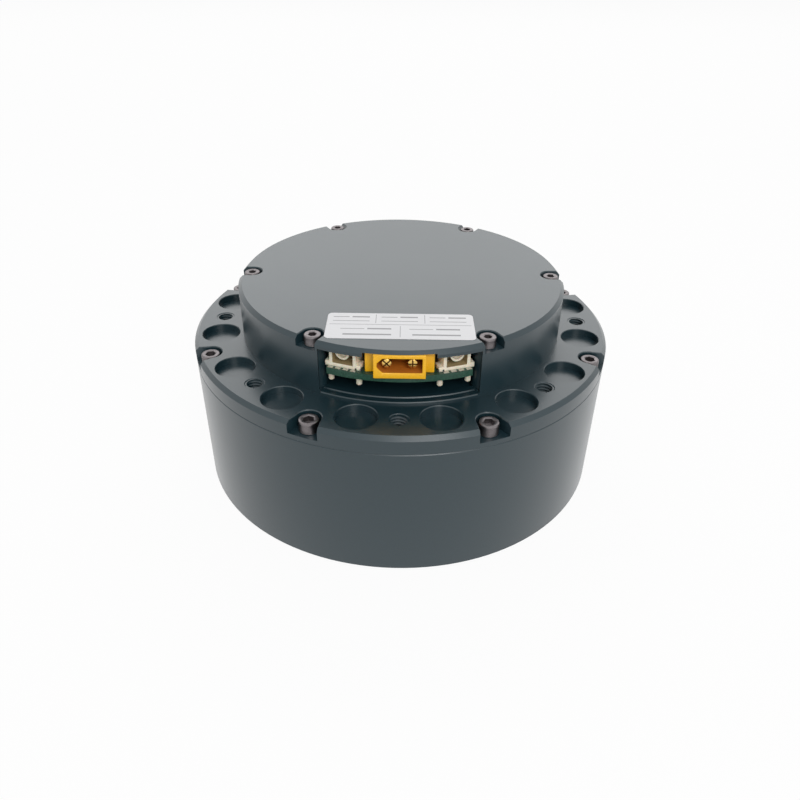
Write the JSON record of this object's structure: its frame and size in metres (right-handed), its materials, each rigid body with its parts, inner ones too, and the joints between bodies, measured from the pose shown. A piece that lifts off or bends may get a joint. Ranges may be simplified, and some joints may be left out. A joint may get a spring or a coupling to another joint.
{
  "type": "robot joint actuator",
  "caption": "Round flat robot joint actuator: outer-rotor motor, planetary reducer and driver board in a dark case, with power and signal sockets in a window of its rear cover.",
  "frame": {"origin": "centre of the front face, where the output flange turns", "axes": "+Z along the output axis towards the driver cover, -Y out of the connector window"},
  "size_m": [0.096, 0.096, 0.0462],
  "materials": {
    "anodised_aluminium": "satin dark anodised",
    "bare_aluminium": "machined",
    "screw_steel": "zinc-nickel steel grey",
    "bearing_steel": "ground",
    "cage_nylon": "moulded nylon",
    "gear_steel": "hobbed and ground",
    "bronze": "sintered",
    "lamination_steel": "stacked sheets",
    "enamelled_copper": "wound wire",
    "magnet_nickel": "nickel plated",
    "lead_silicone": "silicone",
    "label_film": "white film",
    "board_green": "solder mask",
    "chip_black": "moulded epoxy",
    "capacitor_tan": "ceramic",
    "connector_yellow": "moulded nylon",
    "connector_cream": "moulded nylon",
    "pin_gold": "gold plated",
    "contact_tin": "tin plated"
  },
  "bodies": {
    "case": {"front_housing": "anodised_aluminium", "rear_flange": "anodised_aluminium", "case_screws": "screw_steel", "ring_gear": "gear_steel", "output_bearing_outer_ring": "bearing_steel", "shaft_bearing_outer_rings": "bearing_steel", "stator_core": "lamination_steel", "stator_coils": "enamelled_copper", "phase_leads": "lead_silicone", "driver_cover": "anodised_aluminium", "cover_screws": "screw_steel", "blank_label": "label_film", "circuit_board": "board_green", "board_standoffs": "gear_steel", "board_screws": "screw_steel", "encoder_chip": "chip_black", "power_transistors": "chip_black", "control_chips": "chip_black", "bulk_capacitors": "capacitor_tan", "power_connector": "connector_yellow", "power_pins": "pin_gold", "signal_connectors": "connector_cream", "signal_contacts": "contact_tin"},
    "output": {"output_flange": "anodised_aluminium", "planet_pins": "gear_steel", "carrier_plate": "bare_aluminium", "carrier_screws": "screw_steel", "output_bearing_inner_ring": "bearing_steel"},
    "rotor": {"rotor_shaft": "gear_steel", "rotor_web": "bare_aluminium", "flux_ring": "lamination_steel", "rotor_magnets": "magnet_nickel", "sun_gear": "gear_steel", "shaft_clip": "gear_steel", "encoder_magnet": "magnet_nickel", "shaft_bearing_inner_rings": "bearing_steel"},
    "output_cage": {"output_bearing_cage": "cage_nylon", "output_bearing_balls": "bearing_steel"},
    "shaft_cages": {"shaft_bearing_cages": "cage_nylon", "shaft_bearing_balls": "bearing_steel"},
    "planet_1": {"planet_gear_1": "gear_steel", "planet_bush_1": "bronze"},
    "planet_2": {"planet_gear_2": "gear_steel", "planet_bush_2": "bronze"},
    "planet_3": {"planet_gear_3": "gear_steel", "planet_bush_3": "bronze"}
  },
  "joints": [
    {"name": "output_spin", "type": "hinge", "parent": "case", "child": "output", "pos_m": [0, 0, 0], "axis": [0, 0, 1], "continuous": true},
    {"name": "rotor_spin", "type": "hinge", "parent": "case", "child": "rotor", "pos_m": [0, 0, 0], "axis": [0, 0, 1], "continuous": true},
    {"name": "output_cage_spin", "type": "hinge", "parent": "case", "child": "output_cage", "pos_m": [0, 0, 0], "axis": [0, 0, 1], "continuous": true},
    {"name": "shaft_cage_spin", "type": "hinge", "parent": "case", "child": "shaft_cages", "pos_m": [0, 0, 0], "axis": [0, 0, 1], "continuous": true},
    {"name": "planet_1_spin", "type": "hinge", "parent": "output", "child": "planet_1", "pos_m": [0, -0.018, 0], "axis": [0, 0, 1], "continuous": true},
    {"name": "planet_2_spin", "type": "hinge", "parent": "output", "child": "planet_2", "pos_m": [0.01559, 0.009, 0], "axis": [0, 0, 1], "continuous": true},
    {"name": "planet_3_spin", "type": "hinge", "parent": "output", "child": "planet_3", "pos_m": [-0.01559, 0.009, 0], "axis": [0, 0, 1], "continuous": true}
  ],
  "couplings": [
    {"joint": "output_spin", "follows": "rotor_spin", "ratio": 0.16667},
    {"joint": "output_cage_spin", "follows": "rotor_spin", "ratio": 0.077536},
    {"joint": "shaft_cage_spin", "follows": "rotor_spin", "ratio": 0.41667},
    {"joint": "planet_1_spin", "follows": "rotor_spin", "ratio": -0.41667},
    {"joint": "planet_2_spin", "follows": "rotor_spin", "ratio": -0.41667},
    {"joint": "planet_3_spin", "follows": "rotor_spin", "ratio": -0.41667}
  ]
}
